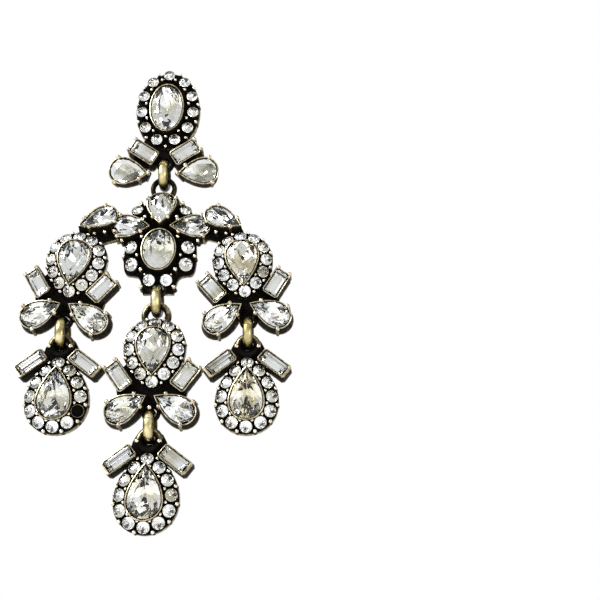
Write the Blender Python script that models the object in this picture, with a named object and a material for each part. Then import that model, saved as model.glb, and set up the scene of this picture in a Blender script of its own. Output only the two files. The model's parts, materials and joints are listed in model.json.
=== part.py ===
"""Chandelier earring of cast antique brass set with clear cut stones.

Metres, +Z up, front towards -Y, +X to the right as seen from the front. The origin is on the back
of the top cluster, at its middle, where the post leaves it for the ear. Every casting has its flat
back in the plane y = 0, and heights are measured forward from that back.
"""

import math

import bmesh
import bpy
from mathutils import Matrix, Vector

MM = 0.001

# Castings
PLATE_THICKNESS = 1.5 * MM
WEB_THICKNESS = 2.4 * MM
WEB_TAPER = 0.45
ARM_THICKNESS = 2.6 * MM
STRUT_WIDTH = 3.4 * MM
STRUT_START_SHARE = 0.6
STRUT_END_SHARE = 0.92
BEZEL_HEIGHT = 4.0 * MM
CLAW_SEAT_HEIGHT = 3.5 * MM
HALO_HEIGHT = 2.9 * MM
PLATE_EDGE = 0.15 * MM
WALL = 0.27 * MM
PEAR_FLARE = 0.45 * MM
BAGUETTE_FLARE = 0.1 * MM
STONE_CLEARANCE = 0.15 * MM
HALO_LEAN = math.radians(22)
CLAW_SEAT_LEAN = math.radians(12)

# Round stones of the halos
ROUND_WIDTH = 2.35 * MM
ROUND_CROWN = 0.4 * MM
ROUND_TABLE_SHARE = 0.55
ROUND_SEAT_DEPTH = 0.9 * MM
HALO_SIDE_REACH = 1.35 * MM
HALO_END_REACH = 1.0 * MM
HALO_STONES = 12
HALO_SHARPNESS = 0.5
MISSING_STONE = 4

# Main stones, at their girdles
PAVILION_DEPTH = 1.3 * MM
CULET_SHARE = 0.35
CROWN_HEIGHT = 0.9 * MM
TABLE_SHARE = 0.55
BAGUETTE_PAVILION = 1.2 * MM
BAGUETTE_CROWN = 0.6 * MM
BAGUETTE_CORNER = 0.35 * MM

# Jump rings, loops and eyes
RING_WIDTH = 7.0 * MM
RING_WIRE = 1.6 * MM
LOOP_WIRE = 1.0 * MM
EYE_WIRE = 1.0 * MM
EYE_HOLE = 3.8 * MM
RING_PLAY = 0.15 * MM
LOOP_PLAY = 0.25 * MM
SLOT_PLAY = 0.2 * MM
HANG_DEPTH = 1.5 * MM

# Ear post
POST_WIDTH = 0.9 * MM
POST_LENGTH = 11.0 * MM
POST_PAD_WIDTH = 3.6 * MM
POST_PAD_THICKNESS = 0.5 * MM
POST_GAP = 0.1 * MM

# Top cluster, places from its own middle
TOP_OVAL_WIDTH = 6.4 * MM
TOP_OVAL_LENGTH = 10.6 * MM
TOP_OVAL_FALL = 0.5 * MM
TOP_HALO_WIDTH = 10.9 * MM
TOP_HALO_LENGTH = 16.1 * MM
TOP_HALO_STONES = 11
TOP_WEB_WIDTH = 8.0 * MM
TOP_BAGUETTE_WIDTH = 2.5 * MM
TOP_BAGUETTE_LENGTH = 5.2 * MM
TOP_BAGUETTE_PLACE = (4.25 * MM, -10.8 * MM)
TOP_BAGUETTE_TURN = math.radians(56)
TOP_PEAR_WIDTH = 5.0 * MM
TOP_PEAR_LENGTH = 7.4 * MM
TOP_PEAR_PLACE = (7.25 * MM, -15.3 * MM)
TOP_PEAR_TURN = math.radians(-98)
TOP_RING_FALL = 15.4 * MM

# Crossbar, places from its own middle on the axis, which is the middle of its oval
BAR_FALL_BELOW_RING = 17.5 * MM
BODY_HALF_WIDTH = 7.3 * MM
BODY_SIDES = [
    # share of the half width, share of the way from the body's top to its foot
    (0.42, 0.00),
    (0.80, 0.09),
    (0.95, 0.26),
    (0.98, 0.45),
    (1.00, 0.66),
    (0.90, 0.79),
    (0.55, 0.83),
    (0.42, 1.00),
]
BAR_OVAL_WIDTH = 6.2 * MM
BAR_OVAL_LENGTH = 8.2 * MM
BAR_TOP_PEAR_WIDTH = 5.3 * MM
BAR_TOP_PEAR_LENGTH = 7.0 * MM
BAR_TOP_PEAR_RISE = 9.3 * MM
BAR_SIDE_PEAR_WIDTH = 4.2 * MM
BAR_SIDE_PEAR_LENGTH = 7.2 * MM
BAR_SIDE_PEAR_PLACE = (6.05 * MM, 5.3 * MM)
BAR_SIDE_PEAR_TURN = math.radians(-95)
BAR_ROUND_WIDTH = 2.7 * MM
BAR_ROUND_PLACES = [
    # places across and up, and the width, of one side's stones
    (4.9 * MM, 9.0 * MM, ROUND_WIDTH),
    (5.7 * MM, 0.8 * MM, BAR_ROUND_WIDTH),
    (5.4 * MM, -2.9 * MM, BAR_ROUND_WIDTH),
    (1.7 * MM, -6.2 * MM, ROUND_WIDTH),
]
ARM_PEAR_WIDTH = 4.3 * MM
ARM_PEAR_LENGTH = 7.3 * MM
ARM_PEAR_PLACE = (12.5 * MM, 7.0 * MM)
ARM_PEAR_TURN = math.radians(118)
ARM_WIDTH = 4.2 * MM
ARM_RISE = 5.8 * MM
ARM_START_SHARE = 0.6
ARM_CREST_SHARE = 0.81
ARM_END_SHARE = 0.96
SIDE_REACH = 18.0 * MM
SIDE_FALL = 2.6 * MM
SIDE_TILT = math.radians(5.3)
CENTRE_RING_FALL_BELOW_BAR = 10.2 * MM

# Clusters of the crossbar's ends and of the centre drop, places from the pear's middle
CLUSTER_PEAR_WIDTH = 6.0 * MM
CLUSTER_PEAR_LENGTH = 8.9 * MM
CLUSTER_BAGUETTE_WIDTH = 2.5 * MM
CLUSTER_BAGUETTE_LENGTH = 4.9 * MM
CLUSTER_BAGUETTE_PLACE = (6.3 * MM, -4.9 * MM)
CLUSTER_BAGUETTE_TURN = math.radians(36)
FOOT_PEAR_WIDTH = 4.5 * MM
FOOT_PEAR_LENGTH = 7.7 * MM
FOOT_PEAR_PLACE = (4.65 * MM, -10.9 * MM)
FOOT_PEAR_TURN = math.radians(-62)
CLUSTER_WEB_WIDTH = 9.6 * MM
CLUSTER_RING_FALL = 14.2 * MM
CENTRE_DROP_FALL_BELOW_RING = 10.7 * MM

# Lower drops, places from the pear's middle
DROP_PEAR_WIDTH = 6.1 * MM
DROP_PEAR_LENGTH = 9.5 * MM
DROP_BAGUETTE_WIDTH = 2.2 * MM
DROP_BAGUETTE_LENGTH = 5.3 * MM
DROP_BAGUETTE_PLACE = (5.05 * MM, 6.0 * MM)
DROP_BAGUETTE_TURN = math.radians(127)
DROP_NECK_WIDTH = 6.0 * MM
DROP_FALL_BELOW_RING = 12.4 * MM

# Facets
ROUND_SIDES = 8
PEAR_SIDES = 14
OVAL_SIDES = 14
PLATE_SIDES = 20
RING_SIDES = 16
WIRE_SIDES = 6
EYE_SIDES = 12
LOOP_SIDES = 12
POST_SIDES = 12
RIBBON_STEPS = 6
CURVE_STEPS = 240
ROUND_ANGLE = math.radians(65)

# Finishes: colour, metallic, roughness
ANTIQUE_BRASS = ((0.16, 0.13, 0.08, 1.0), 1.0, 0.42)
RING_BRASS = ((0.50, 0.42, 0.24, 1.0), 1.0, 0.35)
CLEAR_CRYSTAL = ((0.82, 0.83, 0.80, 1.0), 0.0, 0.05)
POST_STEEL = ((0.60, 0.58, 0.54, 1.0), 1.0, 0.30)


# Outlines in the plane of a stone, tip or long axis up, clockwise seen from the front

def oval_outline(width, length, count):
    """An ellipse."""
    turns = [2 * math.pi * i / count for i in range(count)]
    return [Vector((width / 2 * math.sin(t), length / 2 * math.cos(t))) for t in turns]


def pear_outline(width, length, count, sharpness=1.0):
    """A drop with its tip at the top. A lower sharpness rounds the tip."""
    def share(t):
        return math.sin(t) * abs(math.sin(t / 2)) ** sharpness

    widest = max(share(2 * math.pi * i / CURVE_STEPS) for i in range(CURVE_STEPS))
    turns = [2 * math.pi * i / count for i in range(count)]
    return [
        Vector((width / 2 * share(t) / widest, length / 2 * math.cos(t)))
        for t in turns
    ]


def baguette_outline(width, length):
    """A long rectangle with its corners cut off."""
    x = width / 2
    z = length / 2
    c = BAGUETTE_CORNER
    corners = [(x - c, z), (x, z - c), (x, c - z), (x - c, -z)]
    return [Vector(p) for p in corners] + [Vector((-p[0], -p[1])) for p in corners]


def grown(outline, by):
    """The outline moved outward by one distance, with mitred corners."""
    result = []
    count = len(outline)
    for i, point in enumerate(outline):
        before = (point - outline[i - 1]).normalized()
        after = (outline[(i + 1) % count] - point).normalized()
        out_before = Vector((-before.y, before.x))
        out_after = Vector((-after.y, after.x))
        shift = (out_before + out_after) / (1 + out_before.dot(out_after))
        result.append(point + shift * by)
    return result


def scaled(outline, share):
    return [point * share for point in outline]


def turned_half(outline):
    """The outline with its tip at the bottom."""
    return [-point for point in outline]


def turned(point, by):
    """A point of the plane turned clockwise as seen from the front."""
    return Vector((point[0] * math.cos(by) + point[1] * math.sin(by),
                   point[1] * math.cos(by) - point[0] * math.sin(by)))


def even_places(outline, count):
    """Points spaced evenly along a fine closed outline, each with the direction outward there."""
    size = len(outline)
    steps = [(outline[(i + 1) % size] - outline[i]).length for i in range(size)]
    pitch = sum(steps) / count
    found = []
    walked = 0.0
    for i in range(size):
        while len(found) < count and walked + steps[i] > len(found) * pitch:
            along = (outline[(i + 1) % size] - outline[i]).normalized()
            place = outline[i] + along * (len(found) * pitch - walked)
            found.append((place, Vector((-along.y, along.x))))
        walked += steps[i]
    return found


# Seats: the frame of a stone's girdle, with its front towards the viewer

def seat(place, height, turn=0.0, lean=0.0, toward=(0.0, 1.0)):
    """Turned clockwise as seen from the front, then leaned towards a direction in the plane."""
    front = Vector((0, -1, 0))
    direction = Vector((toward[0], 0, toward[1])).normalized()
    spot = Matrix.Translation((place[0], -height, place[1]))
    leaned = Matrix.Rotation(lean, 4, front.cross(direction))
    return spot @ leaned @ Matrix.Rotation(turn, 4, 'Y')


def ring_at(frame, outline, rise=0.0):
    """The outline's points in space, a rise in front of the seat's plane."""
    return [frame @ Vector((point.x, -rise, point.y)) for point in outline]


def back_ring(frame, outline, height=0.0):
    """The outline's points dropped straight back to one height above the casting's back."""
    return [Vector((p.x, -height, p.z)) for p in ring_at(frame, outline)]


def add_loft(mesh, rings):
    """A closed skin through rings of equal counts."""
    rows = [[mesh.verts.new(point) for point in ring] for ring in rings]
    count = len(rings[0])
    for back, front in zip(rows, rows[1:]):
        for i in range(count):
            j = (i + 1) % count
            mesh.faces.new((back[i], back[j], front[j], front[i]))
    mesh.faces.new(rows[0])
    mesh.faces.new(rows[-1])


def add_slab(mesh, outline, back, front):
    """A flat plate between two heights."""
    add_loft(mesh, [
        [Vector((p.x, -back, p.y)) for p in outline],
        [Vector((p.x, -front, p.y)) for p in outline],
    ])


def add_torus(mesh, centre, radius, wire, sides, across):
    """A ring of wire round the axis across, which is X or Y. Its wire's flats face its hole."""
    rows = []
    for i in range(sides):
        turn = Matrix.Rotation(2 * math.pi * (i + 0.5) / sides, 3, across)
        row = []
        for j in range(WIRE_SIDES):
            t = 2 * math.pi * (j + 0.5) / WIRE_SIDES
            out = radius + wire / 2 * math.cos(t)
            side = wire / 2 * math.sin(t)
            local = Vector((0, side, out)) if across == 'Y' else Vector((side, 0, out))
            row.append(mesh.verts.new(centre + turn @ local))
        rows.append(row)
    for i in range(sides):
        for j in range(WIRE_SIDES):
            k = (j + 1) % WIRE_SIDES
            near = rows[i]
            far = rows[(i + 1) % sides]
            mesh.faces.new((near[j], near[k], far[k], far[j]))


# Materials and objects

def finish(name, colour, metallic, roughness):
    material = bpy.data.materials.new(name)
    material.use_nodes = True
    shader = material.node_tree.nodes['Principled BSDF']
    shader.inputs['Base Color'].default_value = colour
    shader.inputs['Metallic'].default_value = metallic
    shader.inputs['Roughness'].default_value = roughness
    material.diffuse_color = colour
    return material


def body_from(name, mesh, frame, pivot, look=None):
    """An object from a bmesh, with its origin at a frame, its faces outward, hung on a pivot."""
    bmesh.ops.recalc_face_normals(mesh, faces=mesh.faces)
    bmesh.ops.transform(mesh, matrix=frame.inverted(), verts=mesh.verts)
    data = bpy.data.meshes.new(name)
    mesh.to_mesh(data)
    mesh.free()
    body = bpy.data.objects.new(name, data)
    bpy.context.scene.collection.objects.link(body)
    body.matrix_world = frame
    hang(body, pivot)
    if look:
        data.materials.append(finish(name, *look))
    return body


def smooth(body):
    """Round pieces are shaded smooth across their facets."""
    body.data.shade_smooth()
    body.data.set_sharp_from_angle(angle=ROUND_ANGLE)


def add_pivot(name, x, height, parent=None):
    """An empty on a joint's axis, at the depth where everything hangs."""
    pivot = bpy.data.objects.new(name, None)
    bpy.context.scene.collection.objects.link(pivot)
    pivot.location = (x, -HANG_DEPTH, height)
    hang(pivot, parent)
    return pivot


def hang(thing, pivot):
    """Parents a thing to a pivot and leaves it where it is."""
    if pivot:
        thing.parent = pivot
        bpy.context.view_layer.update()
        thing.matrix_parent_inverse = pivot.matrix_world.inverted()


def helper_from(name, mesh, frame, pivot):
    """A body that only joins or cuts another one."""
    body = body_from(name, mesh, frame, pivot)
    body.hide_render = True
    body.display_type = 'WIRE'
    return body


def combine(body, operation, helper):
    change = body.modifiers.new(operation.title() + ' ' + helper.name, 'BOOLEAN')
    change.operation = operation
    change.solver = 'EXACT'
    change.use_self = True
    change.object = helper


for old in list(bpy.data.objects):
    bpy.data.objects.remove(old, do_unlink=True)


# Stones

def add_cut_stone(name, frame, pivot, outline, pavilion, crown):
    """A girdle with a crown up to a table in front and a pavilion down to a culet behind."""
    mesh = bmesh.new()
    add_loft(mesh, [
        ring_at(frame, scaled(outline, CULET_SHARE), -pavilion),
        ring_at(frame, outline),
        ring_at(frame, scaled(outline, TABLE_SHARE), crown),
    ])
    return body_from(name, mesh, frame, pivot, CLEAR_CRYSTAL)


class Casting:
    """The parts of one casting: what is joined, what is cut away, and what is joined last."""

    def __init__(self, name, x, z, pivot=None):
        self.name = name
        self.pivot = pivot
        self.origin = Matrix.Translation((x, 0, z))
        self.work_at(x, z)
        self.solid = bmesh.new()
        self.pockets = bmesh.new()
        self.loops = bmesh.new()
        self.has_loops = False

    def work_at(self, x, z, tilt=0.0):
        """Sets the point that the next places are measured from, and their turn round it."""
        self.middle = Vector((x, z))
        self.tilt = tilt

    def direction(self, local, side=1):
        return turned((side * local[0], local[1]), self.tilt)

    def place(self, local, side=1):
        return self.middle + self.direction(local, side)

    def plate(self, outline, thickness=PLATE_THICKNESS):
        add_slab(self.solid, [self.place(p) for p in outline], 0.0, thickness)

    def main_seat(self, stone, frame, outline, flare=0.0, pavilion=PAVILION_DEPTH,
                  crown=CROWN_HEIGHT):
        """A walled seat down to the back, its pocket, and the stone in it."""
        rim = grown(outline, STONE_CLEARANCE + WALL)
        add_loft(self.solid, [back_ring(frame, grown(rim, flare)), ring_at(frame, rim)])
        pocket = grown(outline, STONE_CLEARANCE)
        floor = -pavilion - STONE_CLEARANCE
        add_loft(self.pockets, [ring_at(frame, pocket, floor), ring_at(frame, pocket, crown)])
        add_cut_stone(stone, frame, self.pivot, outline, pavilion, crown)

    def bezel(self, stone, outline, place=(0.0, 0.0)):
        """The upright seat in the middle of a halo."""
        self.main_seat(stone, seat(self.place(place), BEZEL_HEIGHT, self.tilt), outline)

    def pear(self, stone, side, place, turn, width, length, toward):
        """A pear in a claw seat that spreads towards its back and leans one way."""
        frame = seat(self.place(place, side), CLAW_SEAT_HEIGHT, side * turn + self.tilt,
                     CLAW_SEAT_LEAN, self.direction(toward, side))
        self.main_seat(stone, frame, pear_outline(width, length, PEAR_SIDES), PEAR_FLARE)

    def baguette(self, stone, side, place, turn, width, length):
        """A baguette in a claw seat that leans away from the middle."""
        frame = seat(self.place(place, side), CLAW_SEAT_HEIGHT, side * turn + self.tilt,
                     CLAW_SEAT_LEAN, self.direction(place, side))
        self.main_seat(stone, frame, baguette_outline(width, length), BAGUETTE_FLARE,
                       BAGUETTE_PAVILION, BAGUETTE_CROWN)

    def round_stone(self, place, outward, width=ROUND_WIDTH, missing=False):
        """A small round stone in its cup, or the open cup that a lost stone leaves."""
        frame = seat(place, HALO_HEIGHT, 0.0, HALO_LEAN, outward)
        cup = oval_outline(width, width, ROUND_SIDES)
        rings = [back_ring(frame, cup, PLATE_THICKNESS / 2), ring_at(frame, cup)]
        if not missing:
            rings.append(ring_at(frame, scaled(cup, ROUND_TABLE_SHARE), ROUND_CROWN))
        add_loft(self.solid, rings)
        if missing:
            inner = grown(cup, -WALL)
            add_loft(self.pockets, [
                ring_at(frame, inner, -ROUND_SEAT_DEPTH),
                ring_at(frame, inner, ROUND_SEAT_DEPTH),
            ])

    def halo(self, path, count, missing=None):
        """Round stones spaced evenly along a path, on a plate that reaches just past them."""
        edge = ROUND_WIDTH / 2 + PLATE_EDGE
        self.plate(grown(path[::CURVE_STEPS // PLATE_SIDES], edge))
        for index, (spot, outward) in enumerate(even_places(path, count)):
            self.round_stone(self.place(spot), self.direction(outward), missing=index == missing)

    def web(self, width, drop, ring_height):
        """A thick plate from the foot of a halo, a drop below its middle, tapering to the loop."""
        bottom = loop_height(ring_height) - self.middle.y
        foot = WEB_TAPER * width / 2
        corners = [(-width / 2, -drop), (width / 2, -drop), (foot, bottom), (-foot, bottom)]
        self.plate([Vector(corner) for corner in corners], WEB_THICKNESS)

    def strut(self, baguette_place, pear_place, side):
        """A bar behind a baguette that carries the pear below it."""
        bend = Vector(baguette_place)
        start = bend * STRUT_START_SHARE
        end = Vector(pear_place) * STRUT_END_SHARE
        self.plate(ribbon(start, bend, end, STRUT_WIDTH, side), WEB_THICKNESS)

    def ring_slot(self, x, ring_height):
        """Room for a jump ring to swing in, and the loop that it hangs on."""
        top = ring_height + RING_WIDTH / 2 + RING_PLAY
        bottom = ring_height - RING_WIDTH / 2
        slot = box_outline(RING_WIRE / 2 + SLOT_PLAY, top, bottom)
        add_slab(self.pockets, [p + Vector((x, 0)) for p in slot], -RING_WIDTH, RING_WIDTH)
        centre = Vector((x, -HANG_DEPTH, loop_height(ring_height)))
        add_torus(self.loops, centre, loop_radius(), LOOP_WIRE, LOOP_SIDES, 'Y')
        self.has_loops = True

    def eye(self, ring_height):
        """The upright eye that hangs in the jump ring above."""
        hung = ring_height - RING_WIDTH / 2 + RING_WIRE + RING_PLAY
        centre = Vector((self.middle.x, -HANG_DEPTH, hung - EYE_HOLE / 2))
        add_torus(self.solid, centre, (EYE_HOLE + EYE_WIRE) / 2, EYE_WIRE, EYE_SIDES, 'Y')
        return centre.z

    def build(self):
        body = body_from(self.name, self.solid, self.origin, self.pivot, ANTIQUE_BRASS)
        helper = helper_from(self.name + '_pockets', self.pockets, self.origin, self.pivot)
        combine(body, 'DIFFERENCE', helper)
        if self.has_loops:
            helper = helper_from(self.name + '_loops', self.loops, self.origin, self.pivot)
            combine(body, 'UNION', helper)
        else:
            self.loops.free()


def add_jump_ring(name, x, height, pivot):
    """A ring edge on to the viewer. Its axis runs left to right."""
    mesh = bmesh.new()
    middle = Vector((x, -HANG_DEPTH, height))
    radius = (RING_WIDTH - RING_WIRE) / 2
    add_torus(mesh, middle, radius, RING_WIRE, RING_SIDES, 'X')
    smooth(body_from(name, mesh, Matrix.Translation(middle), pivot, RING_BRASS))


def box_outline(half_width, top, bottom):
    corners = [(-half_width, top), (half_width, top), (half_width, bottom), (-half_width, bottom)]
    return [Vector(corner) for corner in corners]


def loop_height(ring_height):
    """The middle of the loop that a jump ring hangs in."""
    return ring_height + (RING_WIDTH - RING_WIRE) / 2


def loop_radius():
    return RING_WIRE / 2 + LOOP_PLAY + LOOP_WIRE / 2


def ribbon(start, crest, end, width, side):
    """The outline of a curved bar of one width, on the left or the right."""
    middles = []
    for i in range(RIBBON_STEPS + 1):
        t = i / RIBBON_STEPS
        middles.append(start * (1 - t) ** 2 + crest * (2 * t * (1 - t)) + end * t * t)
    upper = []
    lower = []
    for i, point in enumerate(middles):
        along = (middles[min(i + 1, RIBBON_STEPS)] - middles[max(i - 1, 0)]).normalized()
        across = Vector((-along.y, along.x)) * (width / 2)
        upper.append(point + across)
        lower.append(point - across)
    outline = upper + lower[::-1]
    if side < 0:
        outline = [Vector((-p.x, p.y)) for p in reversed(outline)]
    return outline


SIDES = [('left', -1), ('right', 1)]
OUTWARD = (1.0, 0.0)
UPWARD = (0.0, 1.0)


def halo_path(width, length):
    """The line of the round stones round a pear in its bezel, tip up."""
    wall = STONE_CLEARANCE + WALL
    across = width + 2 * (wall + HALO_SIDE_REACH)
    along = length + 2 * (wall + HALO_END_REACH)
    return pear_outline(across, along, CURVE_STEPS, HALO_SHARPNESS)


# Top cluster

top = Casting('top_setting', 0.0, 0.0)
top_ring_height = -TOP_RING_FALL
top.halo(oval_outline(TOP_HALO_WIDTH, TOP_HALO_LENGTH, CURVE_STEPS), TOP_HALO_STONES)
top.bezel('top_oval', oval_outline(TOP_OVAL_WIDTH, TOP_OVAL_LENGTH, OVAL_SIDES),
          (0.0, -TOP_OVAL_FALL))
for side_name, side in SIDES:
    top.baguette('top_baguette_' + side_name, side, TOP_BAGUETTE_PLACE, TOP_BAGUETTE_TURN,
                 TOP_BAGUETTE_WIDTH, TOP_BAGUETTE_LENGTH)
    top.pear('top_pear_' + side_name, side, TOP_PEAR_PLACE, TOP_PEAR_TURN,
             TOP_PEAR_WIDTH, TOP_PEAR_LENGTH, TOP_PEAR_PLACE)
    top.strut(TOP_BAGUETTE_PLACE, TOP_PEAR_PLACE, side)
top.web(TOP_WEB_WIDTH, TOP_HALO_LENGTH / 2, top_ring_height)
top.ring_slot(0.0, top_ring_height)
top.build()


# Top ring, which swings front to back under the top cluster

link_pivot = add_pivot('top_link_pivot', 0.0, top_ring_height)
add_jump_ring('top_ring', 0.0, top_ring_height, link_pivot)


# Cluster of a pear in a halo, two baguettes and two bottom pears, with a loop for a ring

def add_cluster(casting, prefix, x, ring_height, tilt=0.0):
    """The pear's middle stands over the ring at x, or leans over it by a tilt."""
    middle = Vector((x, ring_height)) + turned((0.0, CLUSTER_RING_FALL), tilt)
    casting.work_at(middle.x, middle.y, tilt)
    path = turned_half(halo_path(CLUSTER_PEAR_WIDTH, CLUSTER_PEAR_LENGTH))
    casting.halo(path, HALO_STONES)
    pear = pear_outline(CLUSTER_PEAR_WIDTH, CLUSTER_PEAR_LENGTH, PEAR_SIDES)
    casting.bezel(prefix + '_pear', turned_half(pear))
    for side_name, side in SIDES:
        casting.baguette(prefix + '_baguette_' + side_name, side, CLUSTER_BAGUETTE_PLACE,
                         CLUSTER_BAGUETTE_TURN, CLUSTER_BAGUETTE_WIDTH, CLUSTER_BAGUETTE_LENGTH)
        casting.pear(prefix + '_foot_pear_' + side_name, side, FOOT_PEAR_PLACE, FOOT_PEAR_TURN,
                     FOOT_PEAR_WIDTH, FOOT_PEAR_LENGTH, FOOT_PEAR_PLACE)
        casting.strut(CLUSTER_BAGUETTE_PLACE, FOOT_PEAR_PLACE, side)
    casting.web(CLUSTER_WEB_WIDTH, CLUSTER_PEAR_LENGTH / 2, ring_height)
    casting.ring_slot(x, ring_height)


# Crossbar: the body and foot, the arms and the two side clusters, in one casting

bar_height = top_ring_height - BAR_FALL_BELOW_RING
centre_ring_height = bar_height - CENTRE_RING_FALL_BELOW_BAR
side_ring_height = bar_height - SIDE_FALL - CLUSTER_RING_FALL
wire_height = top_ring_height - (RING_WIDTH - RING_WIRE) / 2
bar_pivot = add_pivot('crossbar_pivot', 0.0, wire_height, link_pivot)
bar = Casting('crossbar_setting', 0.0, bar_height, bar_pivot)
bar_eye = bar.eye(top_ring_height)
body_top = bar_eye - (EYE_HOLE + EYE_WIRE) / 2 - bar_height
foot_bottom = loop_height(centre_ring_height) - loop_radius() - bar_height
right_edge = [
    Vector((across * BODY_HALF_WIDTH, body_top + down * (foot_bottom - body_top)))
    for across, down in BODY_SIDES
]
left_edge = [Vector((-p.x, p.y)) for p in reversed(right_edge)]
bar.plate(right_edge + left_edge, WEB_THICKNESS)
bar.bezel('bar_oval', oval_outline(BAR_OVAL_WIDTH, BAR_OVAL_LENGTH, OVAL_SIDES))
bar.pear('bar_top_pear', 1, (0.0, BAR_TOP_PEAR_RISE), math.pi,
         BAR_TOP_PEAR_WIDTH, BAR_TOP_PEAR_LENGTH, UPWARD)
bar.ring_slot(0.0, centre_ring_height)
for side_name, side in SIDES:
    bar.work_at(0.0, bar_height)
    bar.pear('bar_side_pear_' + side_name, side, BAR_SIDE_PEAR_PLACE, BAR_SIDE_PEAR_TURN,
             BAR_SIDE_PEAR_WIDTH, BAR_SIDE_PEAR_LENGTH, OUTWARD)
    bar.pear('arm_pear_' + side_name, side, ARM_PEAR_PLACE, ARM_PEAR_TURN,
             ARM_PEAR_WIDTH, ARM_PEAR_LENGTH, UPWARD)
    for across, up, width in BAR_ROUND_PLACES:
        bar.round_stone(bar.place((across, up), side), Vector((side * across, up)), width)
    side_top = CLUSTER_PEAR_LENGTH / 2 - SIDE_FALL
    start = Vector((ARM_START_SHARE * BODY_HALF_WIDTH, ARM_RISE))
    crest = Vector((ARM_CREST_SHARE * SIDE_REACH, ARM_RISE))
    end = Vector((ARM_END_SHARE * SIDE_REACH, side_top))
    bar.plate(ribbon(start, crest, end, ARM_WIDTH, side), ARM_THICKNESS)
    add_cluster(bar, side_name, side * SIDE_REACH, side_ring_height, -side * SIDE_TILT)
bar.build()


# Centre drop, with the ring that it hangs in

centre_pivot = add_pivot('centre_drop_pivot', 0.0, centre_ring_height, bar_pivot)
add_jump_ring('centre_ring', 0.0, centre_ring_height, centre_pivot)
centre_height = centre_ring_height - CENTRE_DROP_FALL_BELOW_RING
lower_ring_height = centre_height - CLUSTER_RING_FALL
centre = Casting('centre_drop_setting', 0.0, centre_height, centre_pivot)
centre.eye(centre_ring_height)
add_cluster(centre, 'centre', 0.0, lower_ring_height)
centre.build()


# Lower drops, each with the ring that it hangs in

def add_lower_drop(prefix, x, ring_height, parent, missing=None):
    pivot = add_pivot(prefix + '_drop_pivot', x, ring_height, parent)
    add_jump_ring(prefix + '_ring', x, ring_height, pivot)
    z = ring_height - DROP_FALL_BELOW_RING
    drop = Casting(prefix + '_drop_setting', x, z, pivot)
    eye_height = drop.eye(ring_height)
    drop.halo(halo_path(DROP_PEAR_WIDTH, DROP_PEAR_LENGTH), HALO_STONES, missing)
    drop.bezel(prefix + '_drop_pear', pear_outline(DROP_PEAR_WIDTH, DROP_PEAR_LENGTH, PEAR_SIDES))
    for side_name, side in SIDES:
        drop.baguette(prefix + '_drop_baguette_' + side_name, side, DROP_BAGUETTE_PLACE,
                      DROP_BAGUETTE_TURN, DROP_BAGUETTE_WIDTH, DROP_BAGUETTE_LENGTH)
    neck_top = eye_height - (EYE_HOLE + EYE_WIRE) / 2 - z
    drop.plate(box_outline(DROP_NECK_WIDTH / 2, neck_top, DROP_PEAR_LENGTH / 2), WEB_THICKNESS)
    drop.build()


add_lower_drop('left', -SIDE_REACH, side_ring_height, bar_pivot, MISSING_STONE)
add_lower_drop('right', SIDE_REACH, side_ring_height, bar_pivot)
add_lower_drop('lower', 0.0, lower_ring_height, centre_pivot)


# Ear post: a pad against the back of the top cluster and the post through the ear

post = bmesh.new()
pad = oval_outline(POST_PAD_WIDTH, POST_PAD_WIDTH, POST_SIDES)
shaft = oval_outline(POST_WIDTH, POST_WIDTH, POST_SIDES)
add_loft(post, [
    [Vector((p.x, POST_LENGTH, p.y)) for p in shaft],
    [Vector((p.x, POST_GAP + POST_PAD_THICKNESS, p.y)) for p in shaft],
    [Vector((p.x, POST_GAP + POST_PAD_THICKNESS, p.y)) for p in pad],
    [Vector((p.x, POST_GAP, p.y)) for p in pad],
])
smooth(body_from('ear_post', post, Matrix.Identity(4), None, POST_STEEL))
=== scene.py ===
"""Chandelier earring of antiqued brass set with foiled crystal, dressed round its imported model.

Metres, +Z up, front towards -Y. Lengths are written in millimetres, as a number times MM.
"""

import json
import math

import bmesh
import bpy
import numpy as np
from mathutils import Matrix, Vector

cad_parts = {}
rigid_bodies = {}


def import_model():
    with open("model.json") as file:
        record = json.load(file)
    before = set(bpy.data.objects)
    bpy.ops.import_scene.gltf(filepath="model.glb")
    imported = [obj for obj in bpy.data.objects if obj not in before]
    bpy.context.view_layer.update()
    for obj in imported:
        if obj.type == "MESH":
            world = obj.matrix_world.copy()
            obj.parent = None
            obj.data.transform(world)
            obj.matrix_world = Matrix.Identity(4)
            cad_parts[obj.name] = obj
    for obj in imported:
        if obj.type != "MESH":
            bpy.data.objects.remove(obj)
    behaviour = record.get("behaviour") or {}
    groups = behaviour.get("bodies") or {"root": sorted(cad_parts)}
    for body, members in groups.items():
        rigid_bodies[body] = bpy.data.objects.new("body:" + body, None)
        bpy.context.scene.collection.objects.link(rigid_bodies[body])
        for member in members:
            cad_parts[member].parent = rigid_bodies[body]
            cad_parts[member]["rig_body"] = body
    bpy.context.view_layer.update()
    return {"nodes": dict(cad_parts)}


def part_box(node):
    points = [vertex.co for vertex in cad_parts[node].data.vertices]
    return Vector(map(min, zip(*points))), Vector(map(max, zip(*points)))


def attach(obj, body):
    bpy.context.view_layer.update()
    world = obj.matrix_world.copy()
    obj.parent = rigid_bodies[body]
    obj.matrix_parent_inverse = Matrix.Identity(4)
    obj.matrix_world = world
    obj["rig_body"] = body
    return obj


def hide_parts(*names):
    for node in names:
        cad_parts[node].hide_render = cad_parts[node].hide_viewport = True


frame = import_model()


# Oval and pear stones
# Clear crystal, cut with a flat table, three rows of facets in front and a pointed back under a
# silvery foil. Each one stands for its solid, whose mesh gives its girdle's place and size.

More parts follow.
